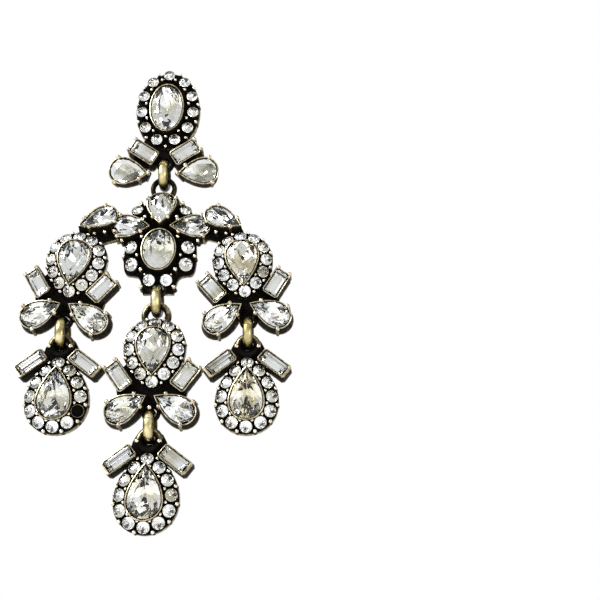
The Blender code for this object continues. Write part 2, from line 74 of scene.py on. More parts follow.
MM = 0.001
MAIN_FACETS = 8
GIRDLE_POINTS = 32
GIRDLE_BAND = 0.14 * MM
TABLE_SHARE = 0.56
SHOULDER_SHARE = 0.55
RIB_SHARE = 0.4
CROWN_SHARE = 0.17
DEPTH_SHARE = 0.42
SOLID_SIDES = 14
CURVE_STEPS = 240
FRONT = Vector((0, -1, 0))
SAME_PLANE = 0.9999
DECIMALS = 7
GIRDLE_LOW = 0.2
GIRDLE_HIGH = 0.8
EVEN_SPREAD = 0.01 * MM
CRYSTAL_IOR = 1.56


def oval_outline(width, length, count):
    """An ellipse with its long axis up, clockwise as seen from the front."""
    turns = [2 * math.pi * i / count for i in range(count)]
    return [Vector((width / 2 * math.sin(t), length / 2 * math.cos(t))) for t in turns]


def pear_outline(width, length, count, sharpness=1.0):
    """A drop with its tip up, clockwise as seen from the front. A low sharpness rounds the tip."""
    def share(t):
        return math.sin(t) * abs(math.sin(t / 2)) ** sharpness

    widest = max(share(2 * math.pi * i / CURVE_STEPS) for i in range(CURVE_STEPS))
    turns = [2 * math.pi * i / count for i in range(count)]
    return [Vector((width / 2 * share(t) / widest, length / 2 * math.cos(t))) for t in turns]


def fine_outline(curve, width, length, count=GIRDLE_POINTS):
    """The curve through the corners of a solid's girdle, which fall just short of its width."""
    reach = 2 * max(point.x for point in curve(1.0, 1.0, SOLID_SIDES))
    return curve(width / reach, length, count)


def seat_of(stone):
    """The frame of a solid stone's girdle, its front at -Y and its tip at +Z, and its size."""
    solid = frame["nodes"][stone].data
    fronts = [face for face in solid.polygons if face.normal.y < 0]

    def area_beside(face):
        return sum(other.area for other in fronts if other.normal.dot(face.normal) > SAME_PLANE)

    front = max(fronts, key=area_beside).normal.normalized()
    places = np.round([vertex.co for vertex in solid.vertices], DECIMALS)
    corners = np.unique(places, axis=0)
    heights = corners @ np.array(front)
    shares = (heights - heights.min()) / np.ptp(heights)
    girdle = corners[(shares > GIRDLE_LOW) & (shares < GIRDLE_HIGH)]
    middle = girdle.mean(axis=0)
    along = np.linalg.svd(girdle - middle)[2][0]
    across = np.cross(-np.array(front), along)
    spread = np.abs((girdle - middle) @ across) @ np.sign((girdle - middle) @ along)
    # A pear is narrow towards its tip. The other stones are even, so what is up is their top.
    if spread > EVEN_SPREAD or (abs(spread) <= EVEN_SPREAD and along[2] < 0):
        along, across = -along, -across
    axes = Matrix((across, -np.array(front), along)).transposed().to_4x4()
    size = [np.ptp((girdle - middle) @ axis) for axis in (across, along)]
    return Matrix.Translation(middle) @ axes, *size


def plane_through(a, b, c):
    normal = (b - a).cross(c - a).normalized()
    return normal, normal.dot(a)


def meet(*planes):
    """The point that three planes share."""
    return Matrix([plane[0] for plane in planes]).inverted() @ Vector([plane[1] for plane in planes])


def add_facets(mesh, seat, rows, facets, foiled):
    """Facets between named rows of points, given as across, along and height over the girdle."""
    verts = {
        name: [mesh.verts.new(seat @ Vector((p.x, -p.z, p.y))) for p in row]
        for name, row in rows.items()
    }
    for corners in facets:
        face = mesh.faces.new([verts[name][i % len(verts[name])] for name, i in corners])
        face.material_index = 1 if any(name in foiled for name, _ in corners) else 0


def add_brilliant(mesh, seat, outline):
    """A stone with eight main facets in front and behind. Its outline has four points to each."""
    width = 2 * max(point.x for point in outline)
    crown = width * CROWN_SHARE
    depth = width * DEPTH_SHARE
    step = len(outline) // MAIN_FACETS
    half = step // 2
    lift = GIRDLE_BAND / 2
    up = Vector((0, 0, 1))
    corners = outline[::step]
    table = [Vector((*(p * TABLE_SHARE), crown)) for p in corners]
    culet = Vector((0, 0, -depth))

    def side_of(height, apex):
        """One side of the girdle: where its main facets meet, and its wavy edge."""
        edge = [Vector((*p, height)) for p in outline]
        mains = []
        for i in range(MAIN_FACETS):
            run = table[(i + 1) % MAIN_FACETS] - table[i - 1]
            mains.append(plane_through(edge[i * step], edge[i * step] + run, apex(i)))
        level = crown * SHOULDER_SHARE if height > 0 else -depth * RIB_SHARE
        joints = [
            meet(mains[i], mains[(i + 1) % MAIN_FACETS], (up, level)) for i in range(MAIN_FACETS)
        ]
        wavy = []
        for j, point in enumerate(edge):
            first = j - j % half
            if j == first:
                wavy.append(point)
                continue
            normal, offset = plane_through(joints[j // step], edge[first],
                                           edge[(first + half) % len(edge)])
            wavy.append(Vector((point.x, point.y,
                                (offset - normal.x * point.x - normal.y * point.y) / normal.z)))
        return joints, wavy

    stars, front = side_of(lift, lambda i: table[i])
    ribs, back = side_of(-lift, lambda i: culet)
    facets = [[('table', i) for i in range(MAIN_FACETS)]]
    for i in range(MAIN_FACETS):
        j = i * step
        facets.append([('table', i), ('table', i + 1), ('star', i)])
        facets.append([('table', i), ('star', i - 1), ('front', j), ('star', i)])
        facets.append([('culet', 0), ('rib', i - 1), ('back', j), ('rib', i)])
        for start in (j, j + half):
            rim = range(start, start + half + 1)
            facets.append([('star', i)] + [('front', k) for k in rim])
            facets.append([('rib', i)] + [('back', k) for k in rim])
    for k in range(len(outline)):
        facets.append([('front', k), ('front', k + 1), ('back', k + 1), ('back', k)])
    rows = {'table': table, 'star': stars, 'front': front, 'back': back, 'rib': ribs,
            'culet': [culet]}
    add_facets(mesh, seat, rows, facets, ('culet', 'rib'))


def new_material(name):
    material = bpy.data.materials.new(name)
    material.use_nodes = True
    return material, material.node_tree.nodes['Principled BSDF']


def pattern(material, per_metre, detail=2.0):
    """Noise that is fixed to the piece, from 0 to 1, with so many turns to the metre."""
    nodes = material.node_tree.nodes
    noise = nodes.new('ShaderNodeTexNoise')
    noise.inputs['Scale'].default_value = per_metre
    noise.inputs['Detail'].default_value = detail
    place = nodes.new('ShaderNodeTexCoord')
    material.node_tree.links.new(place.outputs['Object'], noise.inputs['Vector'])
    return noise.outputs['Fac']


def shades(material, source, stops):
    """Colours by a value, from stops of a value and a colour."""
    ramp = material.node_tree.nodes.new('ShaderNodeValToRGB')
    elements = ramp.color_ramp.elements
    while len(elements) < len(stops):
        elements.new(1.0)
    for element, (value, colour) in zip(elements, stops):
        element.position = value
        element.color = (*colour, 1.0)
    material.node_tree.links.new(source, ramp.inputs['Fac'])
    return ramp.outputs['Color']


def reached(material, source, low, high, to_low=0.0, to_high=1.0):
    """A value's range carried over to another range."""
    change = material.node_tree.nodes.new('ShaderNodeMapRange')
    for name, number in (('From Min', low), ('From Max', high),
                         ('To Min', to_low), ('To Max', to_high)):
        change.inputs[name].default_value = number
    material.node_tree.links.new(source, change.inputs['Value'])
    return change.outputs['Result']


def clear_crystal(name, tint):
    """The glass of a stone, under a faint film in patches."""
    crystal, shader = new_material(name)
    shader.inputs['Base Color'].default_value = (*tint, 1.0)
    shader.inputs['Transmission Weight'].default_value = 1.0
    shader.inputs['IOR'].default_value = CRYSTAL_IOR
    film = reached(crystal, pattern(crystal, 900.0), 0.45, 0.75, 0.0, 0.03)
    crystal.node_tree.links.new(film, shader.inputs['Roughness'])
    return crystal


def foil_behind(name, fresh, aged):
    """The foil on a stone's back as it is seen through it, duller in patches."""
    foil, shader = new_material(name)
    shader.inputs['Metallic'].default_value = 1.0
    tone = shades(foil, pattern(foil, 260.0, 3.0), [
        (0.38, (0.96, 0.97, 0.98)),
        (0.54, fresh),
        (0.68, aged),
    ])
    foil.node_tree.links.new(tone, shader.inputs['Base Color'])
    dullness = reached(foil, pattern(foil, 1400.0), 0.4, 0.7, 0.01, 0.06)
    foil.node_tree.links.new(dullness, shader.inputs['Roughness'])
    return foil


crystal = clear_crystal('clear_crystal', (0.98, 0.985, 0.98))
# The two top pears get darker copies of the crystal and foil, as painted shade.
painted_shade_crystal = clear_crystal('painted_shade_crystal', (0.88, 0.88, 0.83))
AGED_STONES = ('right_pear', 'right_drop_pear', 'lower_drop_pear')
PAINTED_SHADE_STONES = ('top_pear_left', 'top_pear_right')
stone_finish = [crystal, foil_behind('silver_foil', (0.90, 0.905, 0.88), (0.68, 0.66, 0.55))]
warm_finish = [crystal, foil_behind('aged_foil', (0.89, 0.86, 0.74), (0.64, 0.58, 0.42))]
painted_shade_finish = [painted_shade_crystal, foil_behind('painted_shade_foil', (0.60, 0.60, 0.54), (0.10, 0.11, 0.08))]


def piece_from(name, mesh, materials, body):
    """A shown piece from a bmesh, riding on a body of the frame."""
    bmesh.ops.recalc_face_normals(mesh, faces=mesh.faces)
    data = bpy.data.meshes.new(name)
    mesh.to_mesh(data)
    mesh.free()
    for material in materials:
        data.materials.append(material)
    piece = bpy.data.objects.new(name, data)
    bpy.context.scene.collection.objects.link(piece)
    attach(piece, body)
    return piece


def finish_of(stone):
    """A stone's crystal and foil: silvery, yellowed by age, or darkened as painted shade on the top
    pears.
    """
    if stone in AGED_STONES:
        return warm_finish
    return painted_shade_finish if stone in PAINTED_SHADE_STONES else stone_finish


def body_of(node):
    return frame["nodes"][node]["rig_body"]


def stones_named(word):
    """The solids of one kind of stone, which are those with no metal's name in theirs."""
    kinds = ('setting', 'ring', 'post')
    return sorted(name for name in frame["nodes"]
                  if word in name and not name.endswith(kinds))


for kind, curve in (('oval', oval_outline), ('pear', pear_outline)):
    for stone in stones_named(kind):
        girdle, width, length = seat_of(stone)
        cut = bmesh.new()
        add_brilliant(cut, girdle, fine_outline(curve, width, length))
        piece = piece_from(stone + '_stone', cut, finish_of(stone), body_of(stone))
        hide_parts(stone)


# Baguettes
# Long step-cut crystals with their corners taken off, foiled behind like the others. Their
# facets run in straight steps up to a long table and back to a keel.

BAGUETTE_POINTS = 8
BAGUETTE_CORNER = 0.15 * MM
BAGUETTE_STEPS = [
    # how far in from the girdle, height over it, what is left of the corner
    (0.62 * MM, 0.60 * MM, 0.3),
    (0.28 * MM, 0.42 * MM, 0.6),
    (0.00 * MM, 0.06 * MM, 1.0),
    (0.00 * MM, -0.06 * MM, 1.0),
    (0.40 * MM, -0.60 * MM, 0.5),
    (0.92 * MM, -1.15 * MM, 0.1),
]


def baguette_outline(width, length, corner=BAGUETTE_CORNER):
    """A long rectangle with its corners cut off, clockwise as seen from the front."""
    x = width / 2
    z = length / 2
    half = [(x - corner, z), (x, z - corner), (x, corner - z), (x - corner, -z)]
    return [Vector(p) for p in half] + [Vector((-p[0], -p[1])) for p in half]


def add_step_cut(mesh, seat, width, length):
    """A baguette, from the table in front through its steps to the keel behind."""
    rows = {}
    for index, (inset, height, corner) in enumerate(BAGUETTE_STEPS):
        ring = baguette_outline(width - 2 * inset, length - 2 * inset, corner * BAGUETTE_CORNER)
        rows[index] = [Vector((*p, height)) for p in ring]
    last = len(rows) - 1
    facets = [[(row, i) for i in range(BAGUETTE_POINTS)] for row in (0, last)]
    for row in range(last):
        for i in range(BAGUETTE_POINTS):
            facets.append([(row, i), (row, i + 1), (row + 1, i + 1), (row + 1, i)])
    add_facets(mesh, seat, rows, facets, (last - 1, last))


for stone in stones_named('baguette'):
    girdle, width, length = seat_of(stone)
    cut = bmesh.new()
    add_step_cut(cut, girdle, width, length)
    piece = piece_from(stone + '_stone', cut, stone_finish, body_of(stone))
    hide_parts(stone)


# Top cluster's casting
# Brass cast in one, blackened, then rubbed bright where it stands proud: the bezel's rim, the
# claws and the beads raised between the small round stones, which are glued into their cups.

CLEARANCE = 0.15 * MM
WALL = 0.27 * MM
SEAT_EDGE = CLEARANCE + WALL
PLATE_THICKNESS = 1.35 * MM
PLATE_STEP = 0.02 * MM
HALO_THICKNESS = 1.75 * MM
EDGE_ROUND = 0.18 * MM
PLATE_RUBS = (0.42, 0.62, 0.5, 0.1)
BAND_RUBS = (0.2, 0.45, 0.62, 0.55, 0.1, 0.0)
BAND_LAP = 0.1 * MM
PEAR_FLARE = 0.4 * MM
TOP_PEAR_FLARE = -0.5 * MM
BAGUETTE_FLARE = 0.12 * MM
LIP_SHAPE = [
    # out from the stone's edge, height over its girdle, how bright it is rubbed
    (0.42 * MM, -0.55 * MM, 0.10),
    (0.42 * MM, 0.02 * MM, 0.55),
    (0.37 * MM, 0.16 * MM, 0.72),
    (0.27 * MM, 0.20 * MM, 0.72),
    (0.17 * MM, 0.13 * MM, 0.58),
    (0.12 * MM, -0.08 * MM, 0.05),
    (0.11 * MM, -0.90 * MM, 0.00),
]
LIP_INSIDE = 0.3 * MM
END_LIP = 0.3 * MM
POCKET_PLAY = 0.12 * MM
FOOT_GLOSS = 0.5 * MM
FOOT_FLARE = 0.85
FOOT_RUB = 0.36
DISH_SHAPE = [
    # in from the back's edge, height over the back, how bright it is rubbed
    (0.85 * MM, 0.45 * MM, 0.34),
    (0.60 * MM, 0.06 * MM, 0.45),
    (0.50 * MM, 0.00 * MM, 0.60),
    (0.10 * MM, 0.00 * MM, 0.60),
    (0.00 * MM, 0.12 * MM, 0.80),
]
ROUND_WIDTH = 2.35 * MM
ROUND_STONE_SHARE = 0.97
HALO_HEIGHT = 2.9 * MM
HALO_LEAN = math.radians(22)
HALO_EDGE = 1.27 * MM
CUP_SIDES = 24
CUP_SHAPE = [
    # share of the cup's radius, height over the girdle, how bright it is rubbed
    (1.06, -0.45 * MM, 0.05),
    (1.06, -0.06 * MM, 0.25),
    (1.03, 0.04 * MM, 0.50),
    (0.99, 0.02 * MM, 0.25),
    (0.98, -1.02 * MM, 0.00),
]
CUP_LIP_RUB = 0.2
OPEN_CUP_RUB = 0.3
OUTER_BEAD = 0.38 * MM
INNER_BEAD = 0.33 * MM
OUTER_REACH = 0.98 * MM
INNER_REACH = 1.0 * MM
BEAD_STEP = 0.36 * MM
BEAD_SIDES = 12
BEAD_LATITUDES = [math.radians(t) for t in (-45, -15, 15, 42, 68)]
BEAD_UNDERSIDE = 0.55
BEAD_STEM_RUB = 0.35
BEAD_STEM = 0.85
BEAD_FOOT = 1.15
BEAD_NECK = 1.2
CLAW_STEM = 0.34 * MM
CLAW_BEAD = 0.45 * MM
CLAW_RUB = 0.72
CLAW_STEM_RUB = 0.5
CLAW_FOOT = 0.3 * MM
CLAW_BEND = (SEAT_EDGE + 0.16 * MM, -0.45 * MM)
CLAW_TOP = (0.45 * MM, 0.08 * MM)
PEAR_CLAWS = (0.14, 0.36, 0.64, 0.86)
TIP_CLAWS = (0.0, 0.14, 0.36, 0.64)
BAGUETTE_CLAWS = (7, 0)
WIRE_STEPS = 48
WIRE_SIDES = 14
RUB_TURN = math.radians(30)
DULL_SHARE = 0.3
LOOP_WIRE = 0.75 * MM
LOOP_DEPTH = 1.4 * MM
LOOP_RUBS = (0.05, 0.35)
LOOP_PLAY = 0.25 * MM
SLOT_PLAY = 0.2 * MM
SLOT_STEPS = 8
HALF_TURN = [math.pi * i / SLOT_STEPS for i in range(SLOT_STEPS + 1)]
RING_PLAY = 0.3 * MM
WEB_TAPER = 0.45
SEAT_POINTS = 56
CASTING_CREASE = math.radians(42)
OXIDE_IOR = 1.1
OXIDE_GLOSS = 0.2
PLAIN_TINT = 0.5
TINT_STEP = 0.618


def join_rows(mesh, rows):
    """Faces from each row of points, which runs all the way round, to the next row."""
    for near, far in zip(rows, rows[1:]):
        for i in range(len(near)):
            j = (i + 1) % len(near)
            mesh.faces.new((near[i], near[j], far[j], far[i]))


def smooth(piece, crease):
    """Shaded smooth, but for the edges that turn by more than the crease's angle."""
    piece.data.shade_smooth()
    piece.data.set_sharp_from_angle(angle=crease)


def grown(outline, by):
    """The outline moved outward by one distance, with mitred corners."""
    result = []
    for i, point in enumerate(outline):
        before = (point - outline[i - 1]).normalized()
        after = (outline[(i + 1) % len(outline)] - point).normalized()
        out_before = Vector((-before.y, before.x))
        out_after = Vector((-after.y, after.x))
        shift = (out_before + out_after) / (1 + out_before.dot(out_after))
        result.append(point + shift * by)
    return result


def even_places(outline, count):
    """Points spaced evenly along a closed outline, each with the direction outward there."""
    size = len(outline)
    steps = [(outline[(i + 1) % size] - outline[i]).length for i in range(size)]
    pitch = sum(steps) / count
    found = []
    walked = 0.0
    for i in range(size):
        while len(found) < count and walked + steps[i] > len(found) * pitch:
            along = (outline[(i + 1) % size] - outline[i]).normalized()
            place = outline[i] + along * (len(found) * pitch - walked)
            found.append((place, Vector((-along.y, along.x))))
        walked += steps[i]
    return found


def ring_at(seat, outline, rise=0.0):
    """The outline's points in space, a rise in front of the seat's plane."""
    return [seat @ Vector((point.x, -rise, point.y)) for point in outline]


def at_height(points, height):
    """Points moved straight back or forward to one height over the casting's back."""
    return [Vector((p.x, -height, p.z)) for p in points]


def flat(outline, height):
    return [Vector((p.x, -height, p.y)) for p in outline]


def turned_to(tip, outline):
    """The outline turned so that what points up in it points to the tip."""
    return [Vector((p.x * tip.y + p.y * tip.x, p.y * tip.y - p.x * tip.x)) for p in outline]


def circle(middle, axis, radius, sides):
    """Points round an axis that isn't left to right."""
    side = (Vector((1, 0, 0)) - axis * axis.x).normalized()
    up = axis.cross(side)
    turns = [2 * math.pi * i / sides for i in range(sides)]
    return [middle + (side * math.cos(t) + up * math.sin(t)) * radius for t in turns]


class Casting:
    """The skin of one casting, how bright each point of it is rubbed, with painted light on its
    eyes, and its small rounds.
    """

    def __init__(self):
        self.metal = bmesh.new()
        self.wear_and_painted_light = self.metal.verts.layers.float.new('wear_and_painted_light')
        self.plates = 0
        self.tint = self.metal.verts.layers.float.new('tint')
        self.rounds = bmesh.new()
        self.beads = 0

    def skin(self, rings, wear_and_painted_lights, tint=PLAIN_TINT, tube=False):
        """A skin through rings of equal counts, closed by its end rings or into a tube."""
        rows = []
        for ring, wear_and_painted_light in zip(rings, wear_and_painted_lights):
            row = [self.metal.verts.new(point) for point in ring]
            for index, vertex in enumerate(row):
                vertex[self.wear_and_painted_light] = wear_and_painted_light[index] if isinstance(wear_and_painted_light, list) else wear_and_painted_light
                vertex[self.tint] = tint
            rows.append(row)
        if not tube:
            self.metal.faces.new(rows[0])
            self.metal.faces.new(rows[-1])
        join_rows(self.metal, rows + rows[:1] if tube else rows)

    def faces(self, thickness):
        """A plate's two heights, each plate a little thinner so that no two lie in one plane."""
        self.plates += 1
        return self.plates * PLATE_STEP, thickness - self.plates * PLATE_STEP

    def plate(self, outline, thickness):
        """A flat plate with its edges rubbed round and bright."""
        inner = grown(outline, -EDGE_ROUND)
        low, high = self.faces(thickness)
        self.skin([flat(inner, low), flat(outline, low + EDGE_ROUND),
                   flat(outline, high - EDGE_ROUND), flat(inner, high)], PLATE_RUBS)

    def band(self, inner, outer, thickness):
        """A plate with its middle open, where a bezel stands."""
        edge = grown(outer, -EDGE_ROUND)
        low, high = self.faces(thickness)
        self.skin([flat(inner, low), flat(edge, low), flat(outer, low + EDGE_ROUND),
                   flat(outer, high - EDGE_ROUND), flat(edge, high), flat(inner, high)],
                  BAND_RUBS, tube=True)

    def wall(self, seat, outline, flare=0.0, depth=DEPTH_SHARE, end=0.0):
        """A stone's walled seat: a dished back, a wall, a lip over the girdle and a pocket."""
        def edge(out):
            """The outline grown, and by the end lip's breadth more at its far end."""
            return [p + Vector((0, end)) if p.y * end > 0 else p for p in grown(outline, out)]

        foot = ring_at(seat, edge(SEAT_EDGE + flare))
        back = sum(foot, Vector()) / len(foot)
        reach = ((foot[0] - back).length + (foot[len(foot) // 4] - back).length) / 2
        rings = []
        wear_and_painted_lights = []
        for inset, height, wear_and_painted_light in DISH_SHAPE:
            share = 1 - inset / reach
            rings.append(at_height([back + (p - back) * share for p in foot], height))
            wear_and_painted_lights.append(wear_and_painted_light)
        rings.append(at_height(ring_at(seat, edge(SEAT_EDGE + flare * FOOT_FLARE)), FOOT_GLOSS))
        wear_and_painted_lights.append(FOOT_RUB)
        for out, rise, wear_and_painted_light in LIP_SHAPE:
            shape = edge(out) if out > LIP_INSIDE else grown(outline, out)
            rings.append(ring_at(seat, shape, rise))
            wear_and_painted_lights.append(wear_and_painted_light)
        width = 2 * max(point.x for point in outline)
        floor = -width * depth - POCKET_PLAY
        rings.append(ring_at(seat, grown(outline, LIP_SHAPE[-1][0]), floor))
        self.skin(rings, wear_and_painted_lights + [0.0])

    def pin(self, path, stem, bead, foot=None, wear_and_painted_light=1.0, stem_rub=BEAD_STEM_RUB):
        """A wire through the path's points that ends in a bead round the last of them."""
        self.beads += 1
        aim = (path[-1] - path[-2]).normalized()
        rings = [circle(path[0], aim, foot or stem, BEAD_SIDES)]
        rings += [circle(point, aim, stem, BEAD_SIDES) for point in path[1:-1]]
        wear_and_painted_lights = [stem_rub] * len(rings)
        for t in BEAD_LATITUDES:
            rings.append(circle(path[-1] + aim * bead * math.sin(t), aim, bead * math.cos(t),
                                BEAD_SIDES))
            wear_and_painted_lights.append(wear_and_painted_light * (BEAD_UNDERSIDE if t < 0 else 1.0))
        self.skin(rings, wear_and_painted_lights, self.beads * TINT_STEP % 1.0)

    def bead(self, place, height, radius):
        """A bead raised on a stem from the plate, beside a stone."""
        levels = (PLATE_THICKNESS / 2, height - BEAD_NECK * radius, height)
        path = [Vector((place[0], -level, place[1])) for level in levels]
        self.pin(path, radius * BEAD_STEM, radius, radius * BEAD_FOOT)

    def claw(self, seat, outline, index, flare, bead=CLAW_BEAD):
        """A claw up the outside of a wall, with its bead against the stone's edge."""
        def spot(out, rise):
            return ring_at(seat, grown(outline, out), rise)[index]

        foot = at_height([spot(SEAT_EDGE + flare, 0.0)], CLAW_FOOT)[0]
        self.pin([foot, spot(*CLAW_BEND), spot(*CLAW_TOP)], CLAW_STEM, bead,
                 wear_and_painted_light=CLAW_RUB, stem_rub=CLAW_STEM_RUB)

    def pear_seat(self, stone, flare=PEAR_FLARE, claws=PEAR_CLAWS, bead=CLAW_BEAD):
        """The claw seat of a pear, its wall widening by the flare towards the back."""
        seat, width, length = seat_of(stone)
        outline = fine_outline(pear_outline, width, length, SEAT_POINTS)
        self.wall(seat, outline, flare)
        for share in claws:
            self.claw(seat, outline, round(share * SEAT_POINTS), flare, bead)

    def baguette_seat(self, stone, claws=(), end=0.0):
        """The seat of a baguette, with claws at some of its corners."""
        seat, width, length = seat_of(stone)
        outline = baguette_outline(width, length)
        self.wall(seat, outline, BAGUETTE_FLARE, -BAGUETTE_STEPS[-1][1] / width, end)
        for corner in claws:
            self.claw(seat, outline, corner, BAGUETTE_FLARE)

    def round_seat(self, place, outward, width=ROUND_WIDTH, lean=HALO_LEAN, filled=True):
        """A cup leaning outward, and the round stone in it unless it is lost."""
        axis = FRONT.cross(Vector((outward[0], 0, outward[1])).normalized())
        seat = (Matrix.Translation((place[0], -HALO_HEIGHT, place[1]))
                @ Matrix.Rotation(lean, 4, axis))
        cup = oval_outline(width, width, CUP_SIDES)
        rings = [at_height(ring_at(seat, cup), PLATE_THICKNESS / 2)]
        wear_and_painted_lights = [0.0]
        for share, rise, wear_and_painted_light in CUP_SHAPE:
            rings.append(ring_at(seat, [p * share for p in cup], rise))
            wear_and_painted_lights.append(wear_and_painted_light if filled or wear_and_painted_light < CUP_LIP_RUB else wear_and_painted_light + OPEN_CUP_RUB)
        self.skin(rings, wear_and_painted_lights)
        if filled:
            across = width * ROUND_STONE_SHARE
            turned = seat @ Matrix.Rotation(self.beads, 4, 'Y')
            add_brilliant(self.rounds, turned, oval_outline(across, across, GIRDLE_POINTS))

    def halo(self, middle, path, count, lean=HALO_LEAN, missing=-1):
        """Round stones along a path, with a bead on each side between every two."""
        for index, (spot, outward) in enumerate(even_places(path, count * 2)):
            place = middle + spot
            if index % 2 == 0:
                self.round_seat(place, outward, lean=lean, filled=index != 2 * missing)
                continue
            self.bead(place + outward * OUTER_REACH, HALO_HEIGHT - BEAD_STEP, OUTER_BEAD)
            self.bead(place - outward * INNER_REACH, HALO_HEIGHT + BEAD_STEP, INNER_BEAD)

    def eye(self, middle, hole, band, depth, wear_and_painted_light, lower_wear_and_painted_shade):
        """A deep ring facing the viewer, black in its hole, with a painted highlight above and
        painted shade below.
        """
        rings = []
        wear_and_painted_lights = []
        for i in range(WIRE_SIDES):
            t = 2 * math.pi * i / WIRE_SIDES
            spot = middle - Vector((0, depth / 2 * math.sin(t), 0))
            radius = hole / 2 + band / 2 * (1 + math.cos(t))
            ring = circle(spot, Vector((0, 1, 0)), radius, WIRE_STEPS)
            share = max(DULL_SHARE, math.sin(t + RUB_TURN))
            # The upper and lower halves take their own levels here: a painted highlight above and
            # painted shade below.
            wear_and_painted_lights.append([share * (wear_and_painted_light if p.z > middle.z else lower_wear_and_painted_shade) for p in ring])
            rings.append(ring)
        self.skin(rings, wear_and_painted_lights, tube=True)

    def finish(self, prefix):
        """The two pieces: the metal, which stands for the casting's node, and its rounds."""
        node = prefix + '_setting'
        metal = piece_from(prefix + '_metal', self.metal, [antique_brass], body_of(node))
        smooth(metal, CASTING_CREASE)
        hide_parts(node)
        piece_from(prefix + '_rounds', self.rounds, stone_finish, body_of(node))


def layer(material, name):
    """A value that the mesh holds at each of its points."""
    attribute = material.node_tree.nodes.new('ShaderNodeAttribute')
    attribute.attribute_name = name
    return attribute.outputs['Fac']


def worn_and_painted_light(material, patches):
    """How bright the metal is rubbed, with the painted highlights and shade on eyes and rings, made
    uneven by patches.
    """
    total = material.node_tree.nodes.new('ShaderNodeMath')
    total.operation = 'ADD'
    material.node_tree.links.new(layer(material, 'wear_and_painted_light'), total.inputs[0])
    material.node_tree.links.new(patches, total.inputs[1])
    return total.outputs['Value']


def roughen(material, shader, per_metre, strength, depth):
    """The fine unevenness of a cast or drawn surface."""
    bump = material.node_tree.nodes.new('ShaderNodeBump')
    bump.inputs['Strength'].default_value = strength
    bump.inputs['Distance'].default_value = depth
    material.node_tree.links.new(pattern(material, per_metre, 3.0), bump.inputs['Height'])
    material.node_tree.links.new(bump.outputs['Normal'], shader.inputs['Normal'])


def blackened_brass():
    """Near black in hollows, olive on slopes, pale and pinkish where rubbed and in painted
    highlights.
    """
    material, shader = new_material('antique_brass')
    link = material.node_tree.links.new
    patches = reached(material, pattern(material, 1700.0, 5.0), 0.25, 0.75, -0.2, 0.2)
    brightness = worn_and_painted_light(material, patches)
    oxide = shades(material, brightness, [
        (0.10, (0.006, 0.0055, 0.005)),
        (0.38, (0.018, 0.014, 0.009)),
        (0.62, (0.20, 0.155, 0.07)),
        (0.85, (0.45, 0.37, 0.22)),
    ])
    bright = shades(material, layer(material, 'tint'), [
        (0.0, (0.84, 0.65, 0.56)),
        (0.3, (0.80, 0.72, 0.54)),
        (0.5, (0.66, 0.60, 0.42)),
        (0.7, (0.80, 0.74, 0.60)),
        (1.0, (0.88, 0.86, 0.82)),
    ])
    mix = material.node_tree.nodes.new('ShaderNodeMix')
    mix.data_type = 'RGBA'
    link(reached(material, brightness, 0.55, 0.9), mix.inputs['Factor'])
    link(oxide, mix.inputs['A'])
    link(bright, mix.inputs['B'])
    link(mix.outputs['Result'], shader.inputs['Base Color'])
    link(reached(material, brightness, 0.2, 0.9, 0.48, 0.22), shader.inputs['Roughness'])
    link(reached(material, brightness, 0.3, 0.5), shader.inputs['Metallic'])
    shader.inputs['IOR'].default_value = OXIDE_IOR
    shader.inputs['Specular IOR Level'].default_value = OXIDE_GLOSS
    roughen(material, shader, 5200.0, 0.35, 0.03 * MM)
    return material


antique_brass = blackened_brass()


def ring_size(ring):
    """A jump ring's middle, its width outside and its wire's thickness, from its solid."""
    low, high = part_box(ring)
    return (low + high) / 2, high.z - low.z, high.x - low.x


def add_loop(casting, ring):
    """The loop at a casting's foot that a jump ring hangs in."""
    middle, outside, wire = ring_size(ring)
    casting.eye(middle + Vector((0, 0, (outside - wire) / 2)), wire + 2 * LOOP_PLAY, LOOP_WIRE,
                LOOP_DEPTH, *LOOP_RUBS)


def slot_outline(ring, bottom):
    """The slot in a casting's foot that its ring swings in, from its right side to its left."""
    middle, outside, wire = ring_size(ring)
    half = wire / 2 + SLOT_PLAY
    top = middle.z + outside / 2 + RING_PLAY - half
    arch = [Vector((middle.x + half * math.cos(t), top + half * math.sin(t))) for t in HALF_TURN]
    return [Vector((middle.x + half, bottom)), *arch, Vector((middle.x - half, bottom))]


def add_web(casting, ring, width, top):
    """The plate from under a halo down to the loop, narrower there and slotted for its ring."""
    middle, outside, wire = ring_size(ring)
    bottom = middle.z + (outside - wire) / 2
    foot = WEB_TAPER * width / 2
    half = Vector((width / 2, 0))
    outline = [top - half, top + half,
               Vector((middle.x + foot, bottom)), *slot_outline(ring, bottom),
               Vector((middle.x - foot, bottom))]
    casting.plate(outline, PLATE_THICKNESS)
    add_loop(casting, ring)


def strut_outline(start, bend, end, width):
    """The outline of a curved bar of one width."""
    shares = [step / STRUT_STEPS for step in range(STRUT_STEPS + 1)]
    middles = [start.lerp(bend, t).lerp(bend.lerp(end, t), t) for t in shares]
    upper = []
    lower = []
    for i, point in enumerate(middles):
        along = (middles[min(i + 1, STRUT_STEPS)] - middles[max(i - 1, 0)]).normalized()
        across = Vector((-along.y, along.x)) * (width / 2)
        upper.append(point + across)
        lower.append(point - across)
    outline = upper + lower[::-1]
    if end.x < start.x:
        outline.reverse()
    return outline


def flat_place(seat):
    return Vector((seat.translation.x, seat.translation.z))


def add_strut(casting, middle, baguette, pear):
    """The bar that runs from a cluster's middle under a baguette to the pear beyond it."""
    bend = flat_place(seat_of(baguette)[0])
    end = flat_place(seat_of(pear)[0])
    outline = strut_outline(middle.lerp(bend, STRUT_START), bend, middle.lerp(end, STRUT_END),
                            STRUT_WIDTH)
    casting.plate(outline, PLATE_THICKNESS)


